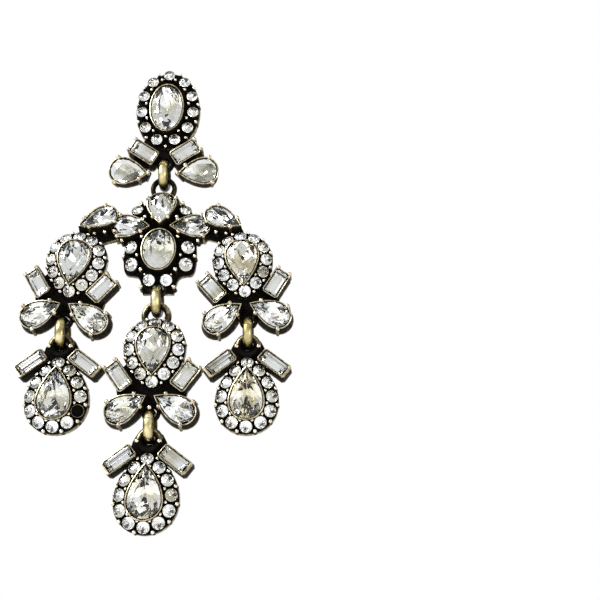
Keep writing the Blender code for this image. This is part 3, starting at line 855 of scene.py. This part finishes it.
STRUT_STEPS = 6
STRUT_WIDTH = 3.2 * MM
STRUT_START = 0.6
STRUT_END = 0.92
TOP_HALO_WIDTH = 10.9 * MM
TOP_HALO_LENGTH = 16.1 * MM
TOP_HALO_STONES = 11
TOP_HALO_LEAN = math.radians(5)
TOP_WEB_WIDTH = 8.0 * MM
TOP_CLAW_BEAD = 0.50 * MM

top = Casting()
top_middle = Vector((0, 0))
path = oval_outline(TOP_HALO_WIDTH, TOP_HALO_LENGTH, CURVE_STEPS)
top.halo(top_middle, path, TOP_HALO_STONES, TOP_HALO_LEAN)
seat, width, length = seat_of('top_oval')
outline = fine_outline(oval_outline, width, length, SEAT_POINTS)
top.wall(seat, outline)
top.band([flat_place(seat) + p for p in grown(outline, SEAT_EDGE - BAND_LAP)],
         grown(oval_outline(TOP_HALO_WIDTH, TOP_HALO_LENGTH, SEAT_POINTS), HALO_EDGE),
         HALO_THICKNESS)
for side in ('left', 'right'):
    top.baguette_seat('top_baguette_' + side, BAGUETTE_CLAWS)
    top.pear_seat('top_pear_' + side, TOP_PEAR_FLARE, TIP_CLAWS, TOP_CLAW_BEAD)
    add_strut(top, top_middle, 'top_baguette_' + side, 'top_pear_' + side)
add_web(top, 'top_ring', TOP_WEB_WIDTH, Vector((0, -TOP_HALO_LENGTH / 2)))
top.finish('top')


# Crossbar's casting
# One wide casting of the same blackened brass: the middle body with its eye and foot, the two
# arms, and the side clusters, each a pear in a halo over two baguettes and two more pears.

BODY_HALF_WIDTH = 7.3 * MM
BODY_SIDES = [
    # share of the half width, share of the way from the body's top to its foot
    (0.42, 0.00),
    (0.80, 0.09),
    (0.95, 0.26),
    (0.98, 0.45),
    (1.00, 0.66),
    (0.90, 0.79),
    (0.55, 0.83),
    (0.42, 1.00),
]
BODY_ROUNDS = [
    # places across and up from the oval's middle, and the width
    (4.9 * MM, 9.0 * MM, 2.35 * MM),
    (5.7 * MM, 0.8 * MM, 2.7 * MM),
    (5.4 * MM, -2.9 * MM, 2.7 * MM),
    (1.7 * MM, -6.2 * MM, 2.35 * MM),
]
BODY_BEADS = [
    # places across and up from the oval's middle, height, radius
    (4.2 * MM, 10.6 * MM, 2.9 * MM, 0.42 * MM),
    (6.9 * MM, 8.0 * MM, 2.8 * MM, 0.30 * MM),
    (3.2 * MM, 7.4 * MM, 3.2 * MM, 0.42 * MM),
    (3.6 * MM, 3.0 * MM, 3.3 * MM, 0.42 * MM),
    (7.6 * MM, 2.3 * MM, 3.0 * MM, 0.38 * MM),
    (4.3 * MM, -1.0 * MM, 3.3 * MM, 0.36 * MM),
    (7.1 * MM, -1.1 * MM, 3.0 * MM, 0.38 * MM),
    (3.4 * MM, -4.0 * MM, 3.2 * MM, 0.45 * MM),
    (2.6 * MM, -5.0 * MM, 3.0 * MM, 0.25 * MM),
    (3.2 * MM, -7.6 * MM, 2.9 * MM, 0.42 * MM),
    (9.3 * MM, 4.4 * MM, 3.0 * MM, 0.36 * MM),
    (11.2 * MM, 4.2 * MM, 3.0 * MM, 0.42 * MM),
    (13.2 * MM, 3.9 * MM, 3.0 * MM, 0.34 * MM),
]
# An eye's hole, the width of its band, its depth, how bright it is rubbed and painted above and
# below (painted highlight above, painted shade below).
BAR_EYE = (3.4 * MM, 1.0 * MM, 1.6 * MM, 0.42, 0.42)
EYE_REACH = 4.8 * MM
FOOT_EDGE = -0.2 * MM
ARM_WIDTH = 4.2 * MM
ARM_RISE = 5.8 * MM
ARM_SHARES = (0.6, 0.81, 0.96)
CURVE_SPLIT = 6
ARCH_CORNER = (6.9 * MM, 3.9 * MM)
ARCH_REACH = (2.4 * MM, 3.0 * MM)
HALO_SIDE_REACH = 1.35 * MM
HALO_END_REACH = 1.0 * MM
HALO_STONES = 12
HALO_SHARPNESS = 0.5
CLUSTER_WEB_WIDTH = 9.6 * MM
CLUSTER_BEADS = [
    # places across and up from the pear's middle, height, radius
    (3.1 * MM, -8.8 * MM, 2.9 * MM, 0.46 * MM),
]


def add_eye(casting, ring, eye):
    """The upright eye that a casting hangs by. Gives the height where the body under it starts."""
    middle, outside, wire = ring_size(ring)
    fall = outside / 2 - wire - RING_PLAY
    casting.eye(middle - Vector((0, 0, fall + eye[0] / 2)), *eye)
    return middle.z - fall - EYE_REACH


def add_haloed_pear(casting, stone, missing=-1):
    """A pear in its bezel with round stones all round. Gives its middle and its tip from there."""
    seat, width, length = seat_of(stone)
    outline = fine_outline(pear_outline, width, length, SEAT_POINTS)
    tip = seat.to_3x3() @ Vector((0, 0, 1))
    tip = Vector((tip.x, tip.z)).normalized()
    middle = flat_place(seat)

    def halo_line(by, count):
        across = 2 * max(p.x for p in outline) + 2 * (SEAT_EDGE + HALO_SIDE_REACH)
        along = length + 2 * (SEAT_EDGE + HALO_END_REACH)
        path = pear_outline(across, along, count, HALO_SHARPNESS)
        return turned_to(tip, grown(path, by) if by else path)

    casting.wall(seat, outline)
    casting.halo(middle, halo_line(0.0, CURVE_STEPS), HALO_STONES, missing=missing)
    inner = turned_to(tip, grown(outline, SEAT_EDGE - BAND_LAP))
    casting.band([middle + p for p in inner],
                 [middle + p for p in halo_line(HALO_EDGE, SEAT_POINTS)], HALO_THICKNESS)
    return middle, tip * (length / 2)


def curved(points):
    """A smooth line through the points."""
    line = []
    for i in range(len(points) - 1):
        a, b = points[i], points[i + 1]
        before = points[max(i - 1, 0)]
        after = points[min(i + 2, len(points) - 1)]
        for step in range(CURVE_SPLIT):
            t = step / CURVE_SPLIT
            square = 2 * before - 5 * a + 4 * b - after
            cube = 3 * a - before - 3 * b + after
            line.append(0.5 * (2 * a + (b - before) * t + square * t ** 2 + cube * t ** 3))
    return line + [points[-1]]


def add_cluster(casting, prefix, ring):
    """A haloed pear over two baguettes and two more pears, down to the loop for a ring."""
    middle, tip = add_haloed_pear(casting, prefix + '_pear')
    for side in ('left', 'right'):
        casting.baguette_seat(prefix + '_baguette_' + side, BAGUETTE_CLAWS)
        casting.pear_seat(prefix + '_foot_pear_' + side)
        add_strut(casting, middle, prefix + '_baguette_' + side, prefix + '_foot_pear_' + side)
    for across, up, height, radius in CLUSTER_BEADS:
        for hand in (-1, 1):
            spot = turned_to(-tip.normalized(), [Vector((hand * across, up))])[0]
            casting.bead(middle + spot, height, radius)
    add_web(casting, ring, CLUSTER_WEB_WIDTH, middle + tip)


bar = Casting()
seat, width, length = seat_of('bar_oval')
bar_middle = flat_place(seat)
bar.wall(seat, fine_outline(oval_outline, width, length, SEAT_POINTS))
body_top = add_eye(bar, 'top_ring', BAR_EYE)
ring_middle, ring_outside, ring_wire = ring_size('centre_ring')
body_foot = ring_middle.z + ring_outside / 2 - ring_wire - LOOP_PLAY - FOOT_EDGE
right_edge = curved([
    Vector((across * BODY_HALF_WIDTH, body_top + down * (body_foot - body_top)))
    for across, down in BODY_SIDES
])
left_edge = [Vector((-p.x, p.y)) for p in reversed(right_edge)]
bar.plate(right_edge + slot_outline('centre_ring', body_foot) + left_edge, PLATE_THICKNESS)
add_loop(bar, 'centre_ring')
bar.pear_seat('bar_top_pear')
corner = Vector(ARCH_CORNER)
arch = [corner]
for step in range(CURVE_SPLIT + 1):
    t = math.pi / 2 * step / CURVE_SPLIT
    arch.append(corner + Vector((ARCH_REACH[0] * (1 - math.sin(t)),
                                 ARCH_REACH[1] * (math.cos(t) - 1))))
for side, hand in (('left', -1), ('right', 1)):
    bar.pear_seat('bar_side_pear_' + side)
    bar.pear_seat('arm_pear_' + side)
    for across, up, width in BODY_ROUNDS:
        bar.round_seat(bar_middle + Vector((hand * across, up)), (hand * across, up), width)
    for across, up, height, radius in BODY_BEADS:
        bar.bead(bar_middle + Vector((hand * across, up)), height, radius)
    seat, width, length = seat_of(side + '_pear')
    cluster_middle = flat_place(seat)
    reach = cluster_middle.x - bar_middle.x
    start = bar_middle + Vector((hand * ARM_SHARES[0] * BODY_HALF_WIDTH, ARM_RISE))
    crest = bar_middle + Vector((ARM_SHARES[1] * reach, ARM_RISE))
    end = Vector((bar_middle.x + ARM_SHARES[2] * reach, cluster_middle.y + length / 2))
    bar.plate(strut_outline(start, crest, end, ARM_WIDTH), PLATE_THICKNESS)
    fillet = [bar_middle + Vector((hand * p.x, p.y)) for p in arch]
    bar.plate(fillet if hand > 0 else fillet[::-1], PLATE_THICKNESS)
    add_cluster(bar, side, side + '_ring')
bar.finish('crossbar')


# Centre drop's casting
# The same cluster again, cast with an eye at its top to hang from the foot of the crossbar.

# The eye's last two numbers are its wear with a painted highlight above and painted shade below.
CENTRE_EYE = (3.3 * MM, 1.3 * MM, 2.3 * MM, 0.68, 0.5)
# A bead's place across and up from the pear's middle, its height and its radius.
CENTRE_BEAD = (0.0, -11.0 * MM, 3.6 * MM, 0.45 * MM)

centre = Casting()
add_eye(centre, 'centre_ring', CENTRE_EYE)
add_cluster(centre, 'centre', 'lower_ring')
across, up, height, radius = CENTRE_BEAD
centre.bead(flat_place(seat_of('centre_pear')[0]) + Vector((across, up)), height, radius)
centre.finish('centre_drop')


# Lower drops' castings
# Three like castings, each a haloed pear with its tip up under two spread baguettes and an eye.
# The left one has lost a round stone, so its cup stands open.

# The eye's last two numbers are its wear with a painted highlight above and painted shade below.
DROP_EYE = (2.4 * MM, 1.35 * MM, 2.2 * MM, 0.62, 0.1)
NECK_SIDE = [
    # places across, and up from the lowest point of the ring's wire
    (2.6 * MM, -3.2 * MM),
    (3.5 * MM, -0.9 * MM),
    (3.2 * MM, 0.5 * MM),
    (2.5 * MM, 1.8 * MM),
    (1.4 * MM, 2.7 * MM),
]
NECK_PLATES = [
    # thickness, and the slot's foot up from the lowest point of the ring's wire
    (PLATE_THICKNESS, -0.02 * MM),
    (0.60 * MM, 0.06 * MM),
]
LOST_STONE = 4
# A bead's place across and up from the same point, its height and its radius.
NECK_BEADS = (2.07 * MM, 0.35 * MM, 2.95 * MM, 0.45 * MM)

for prefix in ('left', 'right', 'lower'):
    drop = Casting()
    add_eye(drop, prefix + '_ring', DROP_EYE)
    add_haloed_pear(drop, prefix + '_drop_pear', LOST_STONE if prefix == 'left' else -1)
    for side in ('left', 'right'):
        drop.baguette_seat(prefix + '_drop_baguette_' + side, end=-END_LIP)
    ring_middle, ring_outside, ring_wire = ring_size(prefix + '_ring')
    low = Vector((ring_middle.x, ring_middle.z - ring_outside / 2))
    half = ring_wire / 2 + SLOT_PLAY
    right = [low + Vector(p) for p in NECK_SIDE]
    left = [low + Vector((-x, up)) for x, up in NECK_SIDE]
    for thickness, rise in NECK_PLATES:
        slot = [low + Vector((-math.cos(t) * half, rise + (1 - math.sin(t)) * half))
                for t in HALF_TURN]
        slot.insert(0, Vector((low.x - half, right[-1].y)))
        slot.append(Vector((low.x + half, right[-1].y)))
        drop.plate(left + slot + right[::-1], thickness)
    for hand in (-1, 1):
        across, up, height, radius = NECK_BEADS
        drop.bead(low + Vector((hand * across, up)), height, radius)
    drop.finish(prefix + '_drop')


# Jump rings
# Round brass wire bent into a ring and closed edge to edge, left golden, with a dull film in
# patches, a painted highlight on the side towards the front and painted shade on the far half.
# They hang edge on to the viewer.

RING_STEPS = 72
RING_SIDES = 18
WIRE_SPREAD = 1.2
SEAM = 0.06 * MM
SEAM_TURN = math.radians(70)
SEAM_CHAMFER = 0.12 * MM
# The side of the wire that gets a painted highlight, the painted light at the ring's sides, how the
# highlight falls off, and the painted shade's level.
PAINTED_HIGHLIGHT_SIDE = Vector((0, -0.97, -0.24))
PAINTED_LIGHT_FLOOR = 0.4
PAINTED_HIGHLIGHT_POWER = 0.7
PAINTED_SHADE_LEVEL = 0.24
WIRE_CREASE = math.radians(35)


def golden_brass():
    """Dark olive in the film and in the painted shade, golden and then pale in the painted
    highlight.
    """
    material, shader = new_material('ring_brass')
    link = material.node_tree.links.new
    patches = reached(material, pattern(material, 520.0, 5.0), 0.3, 0.7, -0.26, 0.2)
    tone = shades(material, worn_and_painted_light(material, patches), [
        (0.08, (0.008, 0.006, 0.004)),
        (0.35, (0.085, 0.066, 0.018)),
        (0.62, (0.27, 0.22, 0.075)),
        (0.85, (0.50, 0.43, 0.21)),
        (1.00, (0.72, 0.64, 0.40)),
    ])
    link(tone, shader.inputs['Base Color'])
    link(reached(material, pattern(material, 1900.0, 3.0), 0.3, 0.7, 0.24, 0.42),
         shader.inputs['Roughness'])
    shader.inputs['Metallic'].default_value = 1.0
    roughen(material, shader, 3800.0, 0.25, 0.02 * MM)
    return material


ring_finish = golden_brass()


def add_jump_ring(ring):
    """A bent wire, flattened a little, with its two chamfered ends almost touching."""
    middle, outside, wire = ring_size(ring)
    radius = (outside - wire) / 2
    gap = SEAM / 2 / radius
    bevel = SEAM_CHAMFER / radius
    sweep = 2 * math.pi - 2 * (gap + bevel)
    turns = [gap + bevel + sweep * i / RING_STEPS for i in range(RING_STEPS + 1)]
    turns = [gap, *turns, 2 * math.pi - gap]
    mesh = bmesh.new()
    wear_and_painted_light = mesh.verts.layers.float.new('wear_and_painted_light')
    rows = []
    for index, t in enumerate(turns):
        thin = SEAM_CHAMFER if index in (0, len(turns) - 1) else 0.0
        turn = Matrix.Rotation(SEAM_TURN + t, 3, 'X')
        out = turn @ Vector((0, 0, 1))
        row = []
        for j in range(RING_SIDES):
            a = 2 * math.pi * j / RING_SIDES
            side = Vector((math.sin(a), 0, math.cos(a)))
            local = side * (wire / 2 - thin) + Vector((0, 0, radius))
            local.x *= WIRE_SPREAD
            vertex = mesh.verts.new(middle + turn @ local)
            # A painted highlight on the wire's side towards the front and painted shade on the
            # ring's far half, held in the layer that the castings' wear uses.
            painted_highlight = max(0.0, (turn @ side).dot(PAINTED_HIGHLIGHT_SIDE)) ** PAINTED_HIGHLIGHT_POWER
            vertex[wear_and_painted_light] = max(PAINTED_SHADE_LEVEL, painted_highlight * min(1.0, PAINTED_LIGHT_FLOOR + out.dot(FRONT)))
            row.append(vertex)
        rows.append(row)
    join_rows(mesh, rows)
    mesh.faces.new(rows[0])
    mesh.faces.new(rows[-1])
    piece = piece_from(ring + '_wire', mesh, [ring_finish], body_of(ring))
    smooth(piece, WIRE_CREASE)
    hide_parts(ring)


for ring in sorted(name for name in frame["nodes"] if name.endswith('_ring')):
    add_jump_ring(ring)


# Ear post
# A turned steel post with a rounded end and two grooves that hold the nut, on a round pad that
# is soldered to the back of the top cluster.

POST_SIDES = 24
POST_RADIUS = 0.45 * MM
GROOVE_RADIUS = 0.35 * MM
POST_CREASE = math.radians(40)


def brushed_steel():
    """Grey steel, duller in patches."""
    material, shader = new_material('post_steel')
    link = material.node_tree.links.new
    tone = shades(material, pattern(material, 900.0, 4.0), [
        (0.3, (0.42, 0.40, 0.37)),
        (0.6, (0.62, 0.60, 0.57)),
    ])
    link(tone, shader.inputs['Base Color'])
    link(reached(material, pattern(material, 3000.0), 0.3, 0.7, 0.2, 0.36),
         shader.inputs['Roughness'])
    shader.inputs['Metallic'].default_value = 1.0
    return material


post_low, post_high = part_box('ear_post')
post_pad = (post_high.x - post_low.x) / 2
post_length = post_high.y - post_low.y
POST_SHAPE = [
    # radius, distance back from the pad's front
    (post_pad - 0.15 * MM, 0.0),
    (post_pad, 0.12 * MM),
    (post_pad, 0.38 * MM),
    (post_pad - 0.12 * MM, 0.5 * MM),
    (0.95 * MM, 0.55 * MM),
    (0.62 * MM, 0.75 * MM),
    (POST_RADIUS, 1.15 * MM),
    (POST_RADIUS, post_length - 3.1 * MM),
    (GROOVE_RADIUS, post_length - 2.9 * MM),
    (GROOVE_RADIUS, post_length - 2.6 * MM),
    (POST_RADIUS, post_length - 2.4 * MM),
    (POST_RADIUS, post_length - 1.5 * MM),
    (GROOVE_RADIUS, post_length - 1.35 * MM),
    (GROOVE_RADIUS, post_length - 1.05 * MM),
    (POST_RADIUS, post_length - 0.9 * MM),
    (POST_RADIUS, post_length - 0.35 * MM),
    (POST_RADIUS * 0.8, post_length - 0.12 * MM),
    (POST_RADIUS * 0.4, post_length),
]
post = bmesh.new()
post_foot = Vector(((post_low.x + post_high.x) / 2, post_low.y, (post_low.z + post_high.z) / 2))
rows = []
for radius, back in POST_SHAPE:
    turned = circle(post_foot + Vector((0, back, 0)), Vector((0, 1, 0)), radius, POST_SIDES)
    rows.append([post.verts.new(point) for point in turned])
join_rows(post, rows)
post.faces.new(rows[0])
post.faces.new(rows[-1])
piece = piece_from('ear_post_turned', post, [brushed_steel()], body_of('ear_post'))
smooth(piece, POST_CREASE)
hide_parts('ear_post')


# Studio
# The floor, the light and the camera, which aren't part of the earring.

CAMERA_PLACE = Vector((28.05, -167.6, -103.2)) * MM
AIM = Vector((28.05, 0.0, -42.2)) * MM
LENS = 53.85
NEAREST_SEEN = 0.01
FLOOR_HEIGHT = -160 * MM
FLOOR_SIZE = 24.0
PAPER_ROUGHNESS = 0.8
FRONT_LIGHT = 0.78
BACKDROP_START = -0.35
BACKDROP_END = 0.3
LAMPS = [
    # name, place, width, power in watts
    ('key_lamp', Vector((-0.46, -0.34, 0.34)), 0.36, 6.0),
    ('low_lamp', Vector((0.40, -0.36, -0.12)), 0.14, 0.6),
]


def add_aimed(name, data, place):
    """A camera or a lamp at its place, turned to the earring."""
    item = bpy.data.objects.new(name, data)
    bpy.context.scene.collection.objects.link(item)
    item.location = place
    item.rotation_euler = (AIM - place).to_track_quat('-Z', 'Y').to_euler()
    return item


view = bpy.data.cameras.new('photo_camera')
view.lens = LENS
view.clip_start = NEAREST_SEEN
bpy.context.scene.camera = add_aimed('photo_camera', view, CAMERA_PLACE)

sheet = bmesh.new()
bmesh.ops.create_grid(sheet, x_segments=1, y_segments=1, size=FLOOR_SIZE / 2)
bmesh.ops.translate(sheet, verts=sheet.verts, vec=(0, 0, FLOOR_HEIGHT))
floor_data = bpy.data.meshes.new('floor')
sheet.to_mesh(floor_data)
sheet.free()
paper, shader = new_material('pale_paper')
grain = shades(paper, pattern(paper, 60.0, 4.0), [
    (0.3, (0.79, 0.79, 0.79)),
    (0.7, (0.81, 0.81, 0.81)),
])
paper.node_tree.links.new(grain, shader.inputs['Base Color'])
shader.inputs['Roughness'].default_value = PAPER_ROUGHNESS
floor_data.materials.append(paper)
floor = bpy.data.objects.new('floor', floor_data)
bpy.context.scene.collection.objects.link(floor)

for name, place, size, power in LAMPS:
    light = bpy.data.lights.new(name, 'AREA')
    light.shape = 'SQUARE'
    light.size = size
    light.energy = power
    add_aimed(name, light, place)

world = bpy.data.worlds.new('white_room')
world.use_nodes = True
nodes = world.node_tree.nodes
link = world.node_tree.links.new
heading = nodes.new('ShaderNodeTexCoord')
parts = nodes.new('ShaderNodeSeparateXYZ')
link(heading.outputs['Generated'], parts.inputs['Vector'])
brightness = reached(world, parts.outputs['Y'], BACKDROP_START, BACKDROP_END, FRONT_LIGHT)
link(brightness, nodes['Background'].inputs['Color'])
bpy.context.scene.world = world
bpy.context.scene.view_settings.view_transform = 'Standard'
